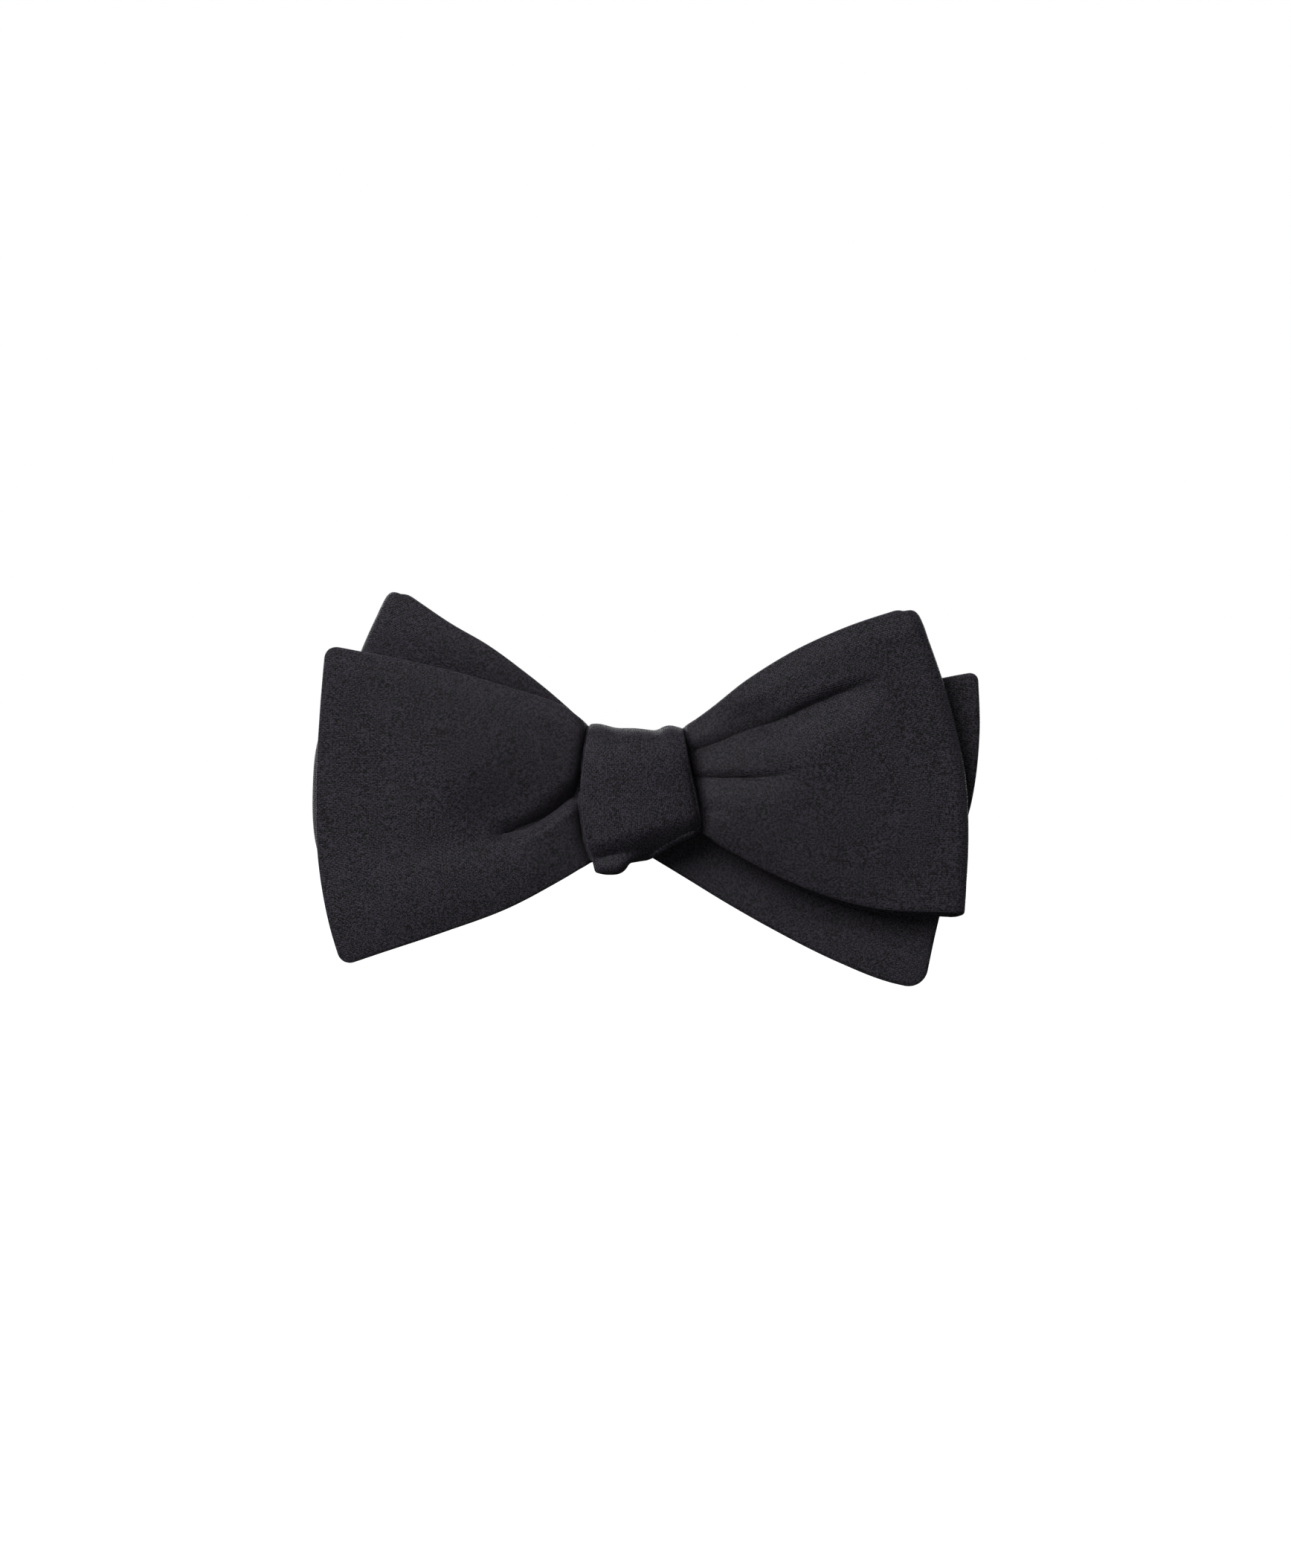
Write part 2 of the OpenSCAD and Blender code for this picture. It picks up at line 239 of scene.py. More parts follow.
class Nodes:
    """A short way to write a node tree."""

    def __init__(self, name):
        self.material = bpy.data.materials.new(name)
        self.material.use_nodes = True
        self.tree = self.material.node_tree
        self.shader = self.tree.nodes["Principled BSDF"]

    def add(self, kind, **inputs):
        """A node. Each input is a setting, a number, or another node's output to link."""
        node = self.tree.nodes.new(kind)
        for key, value in inputs.items():
            if key in ("uv_map", "offset"):
                setattr(node, key, value)
            elif isinstance(value, bpy.types.NodeSocket):
                self.tree.links.new(value, node.inputs[key.replace("_", " ")])
            else:
                node.inputs[key.replace("_", " ")].default_value = value
        return node

    def math(self, operation, a, b=None):
        node = self.tree.nodes.new("ShaderNodeMath")
        node.operation = operation
        for socket, value in zip(node.inputs, (a, b)):
            if isinstance(value, bpy.types.NodeSocket):
                self.tree.links.new(value, socket)
            elif value is not None:
                socket.default_value = value
        return node.outputs[0]

    def mixed(self, a, share, b):
        """A share of a, with b for the rest."""
        return self.math("ADD", self.math("MULTIPLY", a, share), self.math("MULTIPLY", b, 1 - share))

    def ramp(self, value, stops):
        """A colour by value, from stops of (place, colour)."""
        node = self.tree.nodes.new("ShaderNodeValToRGB")
        self.tree.links.new(value, node.inputs[0])
        elements = node.color_ramp.elements
        while len(elements) < len(stops):
            elements.new(0.5)
        for element, (place, colour) in zip(elements, stops):
            element.position = place
            element.color = (*colour, 1)
        return node.outputs[0]

    def link(self, output, name):
        self.tree.links.new(output, self.shader.inputs[name])

    def roughness(self, least, value, spread):
        """Roughness from least to least + spread, as value goes from 0 to 1."""
        self.link(self.math("ADD", least, self.math("MULTIPLY", value, spread)), "Roughness")

    def relief(self, strength, depth, height):
        """Bump of a depth in metres."""
        bump = self.add("ShaderNodeBump", Strength=strength, Distance=depth, Height=height)
        self.link(bump.outputs[0], "Normal")


# The weave, as shares of a rib's height
RIB_LENGTH = 2.2
RIB_GAP = 0.22
# Noise scales, in waves per metre
GRAIN_SCALE = 3000.0
SLUB_SCALE = 160.0
WEAR_SCALE = 420.0
TWIST_SCALE = 5200.0
# How much of the silk's tone is grain, the rest being slubs, and of its relief is ribs, the rest being grain
GRAIN_IN_TONE = 0.88
RIBS_IN_RELIEF = 0.4
# Depths of relief, in metres
SILK_RELIEF = 0.00024
NICKEL_RELIEF = 0.00005
THREAD_RELIEF = 0.00008


def silk_material(name, dark, light, rib=0.34, bump=1.0):
    """Barathea silk: ribs of height rib, in mm, laid like bricks, with slubs and a soft sheen."""
    n = Nodes(name)
    place = n.add("ShaderNodeUVMap", uv_map="weave").outputs[0]
    solid = n.add("ShaderNodeTexCoord").outputs["Object"]
    weave = n.add("ShaderNodeTexBrick", Vector=place, Scale=1.0, offset=0.5)
    weave.inputs["Brick Width"].default_value = RIB_LENGTH * rib * MM
    weave.inputs["Row Height"].default_value = rib * MM
    weave.inputs["Mortar Size"].default_value = RIB_GAP * rib * MM
    weave.inputs["Mortar Smooth"].default_value = 1.0
    grain = n.add("ShaderNodeTexNoise", Vector=solid, Scale=GRAIN_SCALE, Detail=1.0, Roughness=0.6)
    slub = n.add("ShaderNodeTexNoise", Vector=solid, Scale=SLUB_SCALE, Detail=3.0, Roughness=0.55)
    tone = n.mixed(grain.outputs["Fac"], GRAIN_IN_TONE, slub.outputs["Fac"])
    n.link(n.ramp(tone, [(0.4, dark), (0.6, light)]), "Base Color")
    ribs = n.math("SUBTRACT", 1.0, weave.outputs["Fac"])
    n.relief(bump, SILK_RELIEF, n.mixed(ribs, RIBS_IN_RELIEF, grain.outputs["Fac"]))
    n.roughness(0.5, slub.outputs["Fac"], 0.08)
    n.shader.inputs["Specular IOR Level"].default_value = 0.22
    n.shader.inputs["Sheen Weight"].default_value = 0.1
    n.shader.inputs["Sheen Roughness"].default_value = 0.45
    n.shader.inputs["Sheen Tint"].default_value = (0.87, 0.81, 0.95, 1)
    return n.material


def nickel_material(worn, bright):
    """Nickel plate with a little wear in its colour and gloss."""
    n = Nodes("polished_nickel")
    solid = n.add("ShaderNodeTexCoord").outputs["Object"]
    wear = n.add("ShaderNodeTexNoise", Vector=solid, Scale=WEAR_SCALE, Detail=4.0, Roughness=0.6)
    n.link(n.ramp(wear.outputs["Fac"], [(0.3, worn), (0.7, bright)]), "Base Color")
    n.roughness(0.26, wear.outputs["Fac"], 0.1)
    n.relief(0.03, NICKEL_RELIEF, wear.outputs["Fac"])
    n.shader.inputs["Metallic"].default_value = 1.0
    return n.material


def thread_material(dark, light):
    """Twisted sewing thread."""
    n = Nodes("stitching_thread")
    solid = n.add("ShaderNodeTexCoord").outputs["Object"]
    twist = n.add("ShaderNodeTexNoise", Vector=solid, Scale=TWIST_SCALE, Detail=1.0)
    n.link(n.ramp(twist.outputs["Fac"], [(0.3, dark), (0.7, light)]), "Base Color")
    n.relief(0.5, THREAD_RELIEF, twist.outputs["Fac"])
    n.shader.inputs["Roughness"].default_value = 0.5
    n.shader.inputs["Specular IOR Level"].default_value = 0.4
    return n.material


SILK = silk_material("black_silk", (0.001, 0.0008, 0.0013), (0.0305, 0.026, 0.0375))
LABEL_TAPE = silk_material("label_tape", (0.02, 0.02, 0.024), (0.045, 0.044, 0.05), rib=0.26, bump=0.5)
NICKEL = nickel_material((0.76, 0.74, 0.7), (0.86, 0.85, 0.83))
THREAD = thread_material((0.03, 0.028, 0.034), (0.09, 0.085, 0.098))

# ---- Wings ----

# How many points a crease's line is measured by
CREASE_POINTS = 40
# How the upper side of a crease steepens towards its line
CREASE_POWER = 1.6
# The ridge under a crease: its place and its width, as shares of the distance below
RIDGE_AT = 2.2
RIDGE_WIDTH = 1.6


def crease(path, depth, above, below, ridge=0.3, strength=(1, 1, 0.7, 0)):
    """A crease along a path of (x, z) points, as a function that says how far back it sets the cloth.

    The cloth sinks towards the line over twice the distance above, and rises again over about the
    distance below. ridge is how far it then stands proud, as a share of the depth. strength varies all of
    it from the path's start to its end."""
    line = smooth_path(path, np.linspace(0, 1, CREASE_POINTS))
    start, step = line[:-1], np.diff(line, axis=0)
    rising = math.copysign(1, line[-1, 0] - line[0, 0])

    def sink(x, z):
        offset = np.stack([x, z], -1)[..., None, :] - start
        part = np.clip(np.sum(offset * step, -1) / np.sum(step**2, -1), 0, 1)
        offset = offset - part[..., None] * step
        far = np.sqrt(np.sum(offset**2, -1))
        over = np.sign(step[:, 0] * offset[..., 1] - step[:, 1] * offset[..., 0]) * rising
        nearest = np.argmin(far, axis=-1)[..., None]
        t = (nearest[..., 0] + np.take_along_axis(part, nearest, -1)[..., 0]) / len(step)
        away = np.take_along_axis(far * over, nearest, -1)[..., 0]
        slope = np.clip(1 - np.abs(away) / (2 * above), 0, 1) ** CREASE_POWER
        valley = np.where(away > 0, slope, np.exp(-((away / below) ** 2)))
        lift = ridge * np.exp(-(((away + RIDGE_AT * below) / (RIDGE_WIDTH * below)) ** 2))
        level = smooth_path(np.stack([np.arange(len(strength)), strength], -1), t)[..., 1]
        return depth * level * (valley - lift)

    return sink


def hollow(at, size, depth):
    """A round dent, or a swelling where depth is negative."""
    return lambda x, z: depth * np.exp(-(((x - at[0]) / size[0]) ** 2 + ((z - at[1]) / size[1]) ** 2))


def table(points, x):
    """The value at x in a table of (x, value) points."""
    p = np.array(points, float)
    return np.interp(x, p[:, 0], p[:, 1])


def smooth_table(points, x, spread):
    """A table read with its corners rounded over a distance."""
    return np.mean([table(points, x + d) for d in np.linspace(-spread, spread, 9)], axis=0)


# The knot's half width at each height, left and right of its middle
WRAP_LEFT = [(-13.2, 8.2), (-8.7, 10), (-2.4, 10.9), (0.3, 11), (3.3, 10.9), (9.4, 10), (12.6, 9.4)]
WRAP_RIGHT = [(-13.2, 6), (-11.6, 5.4), (-6.6, 10.9), (-4.6, 11.2), (-0.6, 10.5), (5.3, 9.2), (12.1, 7.9)]


# How far outside the knot's edge the cloth is pulled back most
TUCK_AT = 0.45


def tuck(depth, width):
    """The cloth pulled back where it comes out beside the knot."""

    def sink(x, z):
        edge = np.where(x < 0, smooth_table(WRAP_LEFT, z, 1.0), smooth_table(WRAP_RIGHT, z, 1.0))
        return depth * np.exp(-(((np.abs(x) - edge - TUCK_AT) / width) ** 2))

    return sink


# Where a leaf comes out of the knot, and how much of its length the knot hides
KNOT_SIDE = 8
HIDDEN = 4
# How a leaf's depth, bulge and tip shape grow from the knot outwards, as powers
DEPTH_POWER = 1.5
BULGE_POWER = 0.8
TIP_POWER = 2.5
# How much less a leaf bulges at its edges, and the width of a rolled top edge
EDGE_FLATTENING = 0.75
ROLL_WIDTH = 4.5
# The share of a leaf's length from which the inset grows
INSET_FROM = 0.4


class Leaf:
    """One layer of a wing. top and bottom are (x, z) points in mm from inside the knot out to the tip.

    tip runs from bottom to top, and corners are the radii at its bottom and top. inset draws the outer
    part in to leave room for a fold, and roll sets the top edge back."""

    def __init__(
        self, top, bottom, tip, knot_y, tip_y, bulge, folds, inset=0.0, corners=(0.0, 0.0), roll=0.0
    ):
        self.top, self.bottom, self.tip = top, bottom, tip
        self.knot_y, self.tip_y, self.bulge = knot_y, tip_y, bulge
        self.folds, self.inset, self.corners, self.roll = folds, inset, corners, roll
        ends = smooth_path(top, np.array([0.0, 1.0])), smooth_path(bottom, np.array([0.0, 1.0]))
        self.length = abs(ends[0][1, 0] - ends[0][0, 0])
        self.width = float(np.linalg.norm(ends[0][1] - ends[1][1]))

    def rounded(self, u, v):
        """Bends the grid's corners at the tip into quarter circles."""
        for radius, at_top in zip(self.corners, (False, True)):
            if radius <= 0:
                continue
            w = v if at_top else 1 - v
            ru, rv = radius / self.length, radius / self.width
            a = (u - (1 - ru)) / ru
            b = (w - (1 - rv)) / rv
            inside = (a > 0) & (b > 0)
            a2 = a * np.sqrt(np.maximum(1 - b * b / 2, 0))
            b2 = b * np.sqrt(np.maximum(1 - a * a / 2, 0))
            u = np.where(inside, 1 - ru + a2 * ru, u)
            w = np.where(inside, 1 - rv + b2 * rv, w)
            v = w if at_top else 1 - w
        return u, v

    def outline(self, u, v):
        """The flat (x, z) place at u along and v up the leaf, each from 0 to 1."""
        top, bottom = smooth_path(self.top, u), smooth_path(self.bottom, u)
        v3 = v[..., None]
        flat = (1 - v3) * bottom + v3 * top
        ends = smooth_path(self.bottom, np.ones_like(v)), smooth_path(self.top, np.ones_like(v))
        bow = smooth_path(self.tip, v) - ((1 - v3) * ends[0] + v3 * ends[1])
        return flat + bow * (u**TIP_POWER)[..., None]

    def surface(self, u, v):
        """The middle surface, in mm, and how far each point is from the leaf's free edges."""
        local = np.linalg.norm(smooth_path(self.top, u) - smooth_path(self.bottom, u), axis=-1)
        edge = np.minimum(v, 1 - v) * local
        u2, v2 = self.rounded(u, v)
        p = self.outline(u2, v2)
        x, z = p[..., 0], p[..., 1]
        reach = np.clip((np.abs(x) - KNOT_SIDE) / (self.length - HIDDEN), 0, 1)
        y = self.knot_y + (self.tip_y - self.knot_y) * reach**DEPTH_POWER
        fullness = 1 - EDGE_FLATTENING * np.abs(2 * v2 - 1) ** 4
        y = y + self.bulge * np.sin(math.pi * reach**BULGE_POWER) * fullness
        y = y + self.roll * smoothstep(ROLL_WIDTH, 0, (1 - v2) * local)
        for fold in self.folds:
            y = y + fold(x, z)
        x = x - np.sign(x) * self.inset * smoothstep(INSET_FROM, 1, u2)
        return np.stack([x, y, z], -1), edge


# How far in from an edge the cloth is rounded
EDGE_ROUND = 0.75
# The seam allowance inside the wings' edges: how thick it is, and where it ends
ALLOWANCE = 0.07
ALLOWANCE_END = (3.8, 6.5)
# The last places of a folded wing's grid, in mm from its tip, and the points round its fold
TIP_ENDS = (0.0, 0.4, 0.9, 1.5)
FOLD_POINTS = 10


def seam_profile(edge):
    """Half thickness near a pressed edge: round at the edge, fuller over the seam allowance."""
    allowance = ALLOWANCE * (1 - smoothstep(*ALLOWANCE_END, edge))
    return (LEAF_HALF + allowance) * round_profile(edge, EDGE_ROUND)


def free_wing(name, leaf, step):
    """A wing that is one flat end of the tie."""
    u = fine_ends(leaf.length, step, both=False)
    v = fine_ends(leaf.width, step)
    uu, vv = np.meshgrid(u, v, indexing="ij")
    mid, edge = leaf.surface(uu, vv)
    edge = np.minimum(edge, (1 - uu) * leaf.length)
    weave = np.stack([uu * leaf.length, vv * leaf.width], -1)
    return cloth_object(name, mid, seam_profile(edge), weave, SILK)


def folded_wing(name, fore, aft, step, back_step):
    """A wing that is one cloth, out along the front, round the fold at the tip and back."""
    v = fine_ends(fore.width, step)
    front_u = fine_ends(fore.length, step, ends=TIP_ENDS, both=False)
    back_u = fine_ends(aft.length, back_step, ends=TIP_ENDS, both=False)[::-1]
    uf, vf = np.meshgrid(front_u, v, indexing="ij")
    ub, vb = np.meshgrid(back_u, v, indexing="ij")
    front, front_edge = fore.surface(uf, vf)
    back, back_edge = aft.surface(ub, vb)
    a, b = front[-1], back[0]
    middle, arm = (a + b) / 2, (a - b) / 2
    out = np.array([np.sign(a[0, 0]), 0, 0]) * np.minimum(np.abs(arm[:, 1:2]), FOLD_R)
    turn = np.linspace(0, math.pi, FOLD_POINTS)[1:-1]
    fold = np.stack([middle + arm * math.cos(t) + out * math.sin(t) for t in turn])
    fold_edge = np.stack([front_edge[-1]] * len(turn))
    mid = np.concatenate([front, fold, back])
    edge = np.concatenate([front_edge, fold_edge, back_edge])
    weave = weave_grid(run_along(mid[:, len(v) // 2]), v * fore.width)
    return cloth_object(name, mid, seam_profile(edge), weave, SILK)


front_left_leaf = Leaf(
    top=[(-4, 10), (-9.2, 12.8), (-12.9, 16), (-23.6, 20), (-38.3, 24.1), (-51.5, 26.8), (-57.8, 28)],
    bottom=[(-4, -10), (-8.8, -12), (-14, -15), (-24, -20.3), (-36, -24.8), (-48, -28.8), (-54.8, -31.1)],
    tip=[(-54.8, -31.1), (-57, -23.8), (-59.1, -12), (-59.5, 2), (-58.8, 16), (-57.8, 28)],
    knot_y=-76.8,
    tip_y=-77.4,
    bulge=-1.8,
    roll=0.5,
    folds=[
        tuck(3.5, 0.85),
        crease(
            [(-9, 3.4), (-11.1, 1.5), (-15.6, -2.4), (-20.4, -5.4), (-28, -7.5)],
            3.8,
            1.6,
            1.0,
            ridge=0.05,
            strength=(1, 1, 1, 1.15, 0),
        ),
        crease([(-23, -7.2), (-36, -8.8), (-53, -13.4)], 0.3, 4.5, 3.0, ridge=0.1, strength=(0, 1, 0.7, 0)),
        hollow((-25.5, -3.5), (7, 6), 2.1),
        hollow((-28, -18), (13, 7), -0.7),
        hollow((-50, -22), (9, 8), -0.4),
    ],
    corners=(2.4, 2.4),
)

front_right_top = [(4, 10), (7.8, 12.6), (12, 15.6), (20, 21.8), (28, 26.6), (38, 30.9), (50.5, 34.9)]
front_right_bottom = [(4, -7), (10.8, -6.5), (15.7, -9.4), (29.6, -16.4), (43.5, -20.4), (59.4, -21.4)]
front_right_tip = [(59.4, -21.4), (59.9, -8), (59.4, 3.3), (56.8, 16), (50.5, 34.9)]
front_right_fore = Leaf(
    top=front_right_top,
    bottom=front_right_bottom,
    tip=front_right_tip,
    knot_y=-77.0,
    tip_y=-78.8,
    bulge=-1.9,
    roll=0.5,
    folds=[
        tuck(2.4, 0.7),
        crease(
            [(8.6, 8.4), (13.5, 10), (19, 12.1), (25.7, 14.5), (30.7, 16.8), (36, 18.9), (46, 22.1)],
            1.8,
            0.85,
            4.5,
            ridge=0.05,
            strength=(0.9, 0.65, 0.6, 0.95, 1.15, 1.1, 0),
        ),
        crease(
            [(8, 4), (17.4, 3.9), (25, 4.2), (30, 5.2)],
            1.4,
            0.5,
            3.2,
            ridge=0.05,
            strength=(1, 0.9, 0.8, 0),
        ),
        crease([(8.5, -1.6), (11.5, -2.4), (17.5, -2.4)], 0.9, 2.4, 1.2, ridge=0.0, strength=(1, 0.5, 0)),
        hollow((21, 14.2), (7.5, 3.6), 1.5),
        hollow((50, -4), (9, 12), -0.3),
    ],
    inset=FOLD_R,
    corners=(0, 2.2),
)
front_right_aft = Leaf(
    top=[(x, z - 0.5) for x, z in front_right_top],
    bottom=[(4, -7.4), (10.8, -6.9), (15.7, -9.8), (29.6, -16.9), (43.5, -21), (58.7, -22.1)],
    tip=[(58.7, -22.1), (59.8, -8.2), (59.4, 3), (56.8, 15.6), (50.5, 34.4)],
    corners=(0, 2.2),
    knot_y=-74.2,
    tip_y=-76,
    bulge=0.5,
    folds=[hollow((22, 4), (9, 10), 0.3)],
    inset=FOLD_R,
)

rear_left_top = [(-4, 9), (-8.6, 12), (-12.1, 15.4), (-20.1, 22.2), (-28.2, 27.9), (-36.2, 32.2)]
rear_left_top += [(-46.2, 38.6)]
rear_left_bottom = [(-5, -7), (-12.3, -8.6), (-26, -12), (-42, -16), (-56.5, -18.2)]
rear_left_tip = [(-56.5, -18.2), (-59.6, -7), (-59.9, 2), (-59.3, 9), (-53.7, 22), (-46.2, 38.6)]
rear_left_fore = Leaf(
    top=rear_left_top,
    bottom=rear_left_bottom,
    tip=rear_left_tip,
    knot_y=-71.6,
    tip_y=-70.8,
    bulge=-0.9,
    folds=[
        crease([(-12, 15), (-23.6, 19), (-38.3, 23), (-52, 26)], 1.7, 3.4, 3.0, strength=(1, 1, 0.8, 0.4)),
        lambda x, z: 0.08 * (z - 22),
    ],
    inset=FOLD_R,
    corners=(0, 2.4),
)
rear_left_aft = Leaf(
    top=rear_left_top,
    bottom=rear_left_bottom,
    tip=rear_left_tip,
    knot_y=-69.0,
    tip_y=-67.6,
    bulge=0.9,
    folds=[
        crease([(-8, 2), (-20, 4), (-34, 8)], -1.2, 3.0, 0.8),
        crease([(-8, -3), (-20, -5), (-30, -8)], -0.8, 2.0, 0.8),
    ],
    inset=FOLD_R,
    corners=(0, 2.4),
)
rear_right_bottom = [(0.5, -10.2), (8.1, -14.8), (16.1, -19.7), (24.2, -24.3), (36.3, -30.4)]
rear_right_bottom += [(46, -34.2), (52.4, -35.6)]
rear_right_leaf = Leaf(
    top=[(4, 5), (12.3, 6.2), (28, 12), (44, 18.8), (56.4, 22.1), (62.4, 23.2)],
    bottom=rear_right_bottom,
    tip=[(52.4, -35.6), (54.8, -24.2), (58, -12), (61.4, 0), (62.7, 12), (62.4, 23.2)],
    knot_y=-71.0,
    tip_y=-71.6,
    bulge=0.4,
    folds=[hollow((34, -22), (10, 5), 0.3)],
    corners=(3.6, 1.8),
)

COARSE = 1.2
FRONT_STEP = 0.55
REAR_LEFT_STEP = 0.9
REAR_RIGHT_STEP = 0.8
FREE_LAYERS = ("face", "interlining", "back")
FOLDED_LAYERS = ("outer", "interlining", "inner")
# Each wing's cloth, the CAD layers that it stands for, and its flat width, length and area in metres
wings = {
    "front_left": (
        free_wing("front_left_wing_cloth", front_left_leaf, FRONT_STEP),
        FREE_LAYERS,
        (0.0585, 0.0520, 0.00235),
    ),
    "front_right": (
        folded_wing("front_right_wing_cloth", front_right_fore, front_right_aft, FRONT_STEP, COARSE),
        FOLDED_LAYERS,
        (0.0575, 0.1100, 0.00435),
    ),
    "rear_left": (
        folded_wing("rear_left_wing_cloth", rear_left_fore, rear_left_aft, REAR_LEFT_STEP, COARSE),
        FOLDED_LAYERS,
        (0.0575, 0.1060, 0.00395),
    ),
    "rear_right": (
        free_wing("rear_right_wing_cloth", rear_right_leaf, REAR_RIGHT_STEP),
        FREE_LAYERS,
        (0.0590, 0.0560, 0.00215),
    ),
}
for key, (piece, layers, (width, length, area)) in wings.items():
    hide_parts(*[f"{key}_{layer}" for layer in layers])
    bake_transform(piece)

# ---- Knot ----

# The knot's top and bottom edge from its left side, -1, to its right, 1
WRAP_TOP = [(-1, 13.4), (-0.8, 13.6), (-0.42, 12.7), (0, 12.7), (0.45, 12.2), (0.68, 13.4), (1, 12.6)]
WRAP_BOTTOM = [(-1, 13.8), (-0.75, 14.3), (-0.45, 14.3), (-0.28, 13.8), (-0.1, 12.2), (0.42, 11.6)]
WRAP_BOTTOM += [(0.7, 8.6), (1, 6.6)]
WRAP_Y = -73.0
WRAP_DEPTH = 8.4
# The powers that make the wrap's section squarer than an ellipse, above and below
WRAP_SQUARE = 0.46
WRAP_SQUARE_BELOW = 0.17
WRAP_HALF = 0.68
WRAP_ROUND = 0.8
# About its width, and the reach from its middle to a side
WRAP_WIDTH = 21
WRAP_REACH = 10
# How many degrees the wrap goes either way from its front, and its grid's rows
WRAP_TURN = 160
WRAP_ROWS = 161
WRAP_ENDS = (0.0, 0.1, 0.25, 0.45, 0.65, 0.8, 0.95, 1.1, 1.4)
# How far the wrap's front crowns, and each of its folds stands forward or back
CROWN = 0.9
LOBE = 5.0
LIP = 1.4
UNDER_RIGHT = 1.3
UNDER_LEFT = 0.8
# How steeply the lower front turns under
TURN_UNDER = 1.25


def wrap_surface(deg, s):
    """The wrap's middle surface. deg is 0 in front and 90 on top; s runs from -1, left, to 1, right."""
    a = np.radians(deg)
    ca, sa = np.cos(a), np.sin(a)
    front = np.sign(ca) * np.abs(ca) ** np.where(sa > 0, WRAP_SQUARE, WRAP_SQUARE_BELOW)
    up = np.sign(sa) * np.abs(sa) ** WRAP_SQUARE
    high = np.where(sa > 0, smooth_table(WRAP_TOP, s, 0.1), smooth_table(WRAP_BOTTOM, s, 0.08))
    z = (high - WRAP_HALF) * up
    left = smooth_table(WRAP_LEFT, z, 1.2)
    right = smooth_table(WRAP_RIGHT, z, 1.0)
    x = (right - left) / 2 + s * (right + left) / 2
    forward = np.clip(front, 0, 1)
    crown = CROWN * (1 - s**2)
    # The front turns under below a slanting line
    shoulder = np.maximum(-2.6 + 0.3 * (x - 10.5) - z, 0)
    turned_under = TURN_UNDER * (np.sqrt(shoulder**2 + 4) - 2)
    # The lobe hangs at the lower left, and the lip runs along the bottom edge to its right
    lobe_top = -9.6 + 0.22 * (x + 4)
    lobe = LOBE * smoothstep(lobe_top, lobe_top - 4, z) * smoothstep(1.0, -2.5, x)
    lip = LIP * smoothstep(1.9, 0.8, z + high) * smoothstep(1, 3, x)
    # A layer of the wrap shows under the front one at the right side, and at the lower left
    under_right = UNDER_RIGHT * smoothstep(1.45, 1.1, right - x) * smoothstep(9, 3, z)
    under_left = UNDER_LEFT * smoothstep(1.0, 0.75, x + left) * smoothstep(-5.5, -7.5, z)
    y = WRAP_Y - WRAP_DEPTH * front
    y = y + forward * (turned_under - crown - lobe - lip + under_right + under_left)
    return np.stack([x, y, z], -1)


def wrap_piece():
    """The wrap, open behind the knot where the crossing band ends pass."""
    deg = np.linspace(-WRAP_TURN, WRAP_TURN, WRAP_ROWS)
    s = fine_ends(WRAP_WIDTH, 0.55, ends=WRAP_ENDS) * 2 - 1
    dd, ss = np.meshgrid(deg, s, indexing="ij")
    mid = wrap_surface(dd, ss)
    half = WRAP_HALF * round_profile((1 - np.abs(ss)) * WRAP_REACH, WRAP_ROUND)
    weave = weave_grid(run_along(mid[:, len(s) // 2]), s * WRAP_WIDTH / 2)
    return cloth_object("knot_wrap_cloth", mid, half, weave, SILK)


wrap = wrap_piece()
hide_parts("knot_wrap_silk", "knot_wrap_interlining", "knot_wrap_lining")
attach(wrap, "knot")

# The waists' reach to each side, their top, how far above the knot's bottom edge they start, and their weave
WAIST_REACH = 7.6
WAIST_TOP = 10.4
WAIST_LIFT = 2.6
WAIST_HALF = 0.45
WAIST_WEAVE = 40
PLEATS = 7


def waist_piece(name, y, deep, node):
    """A blade's narrow waist, gathered into pleats one above the other, deep to either side of y."""
    x = np.linspace(-WAIST_REACH, WAIST_REACH, 12)
    j = np.linspace(0, 1, 120)
    xx, jj = np.meshgrid(x, j, indexing="ij")
    yy = y + deep * np.sin(jj * PLEATS * math.pi) * (1 + 0.1 * np.sin(xx * 0.6))
    low = -table(WRAP_BOTTOM, xx / WRAP_REACH) + WAIST_LIFT
    zz = low + jj * (WAIST_TOP - low)
    mid = np.stack([xx, yy, zz], -1)
    half = np.full(xx.shape, WAIST_HALF)
    weave = np.stack([xx, jj * WAIST_WEAVE], -1)
    piece = cloth_object(name, mid, half, weave, SILK)
    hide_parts(node)
    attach(piece, "knot")


waist_piece("front_waist_pleats", -76.2, 2.3, "front_waist")
waist_piece("rear_waist_pleats", -69.6, 2.2, "rear_waist")

# ---- Neckband ----

# Half thickness of the band, and the grid across every strap: its step and its last places, in mm
BAND_HALF = 0.68
STRAP_STEP = 1.3
STRAP_ENDS = (0.0, 0.08, 0.2, 0.4, 0.65, 1.0)


def arc(radius, degrees, cx=0.0):
    """Plan points on a circle: 0 degrees is at +X and 90 at the back."""
    a = np.radians(np.asarray(degrees, float))
    return np.stack([radius * np.cos(a) + cx, radius * np.sin(a)], -1)


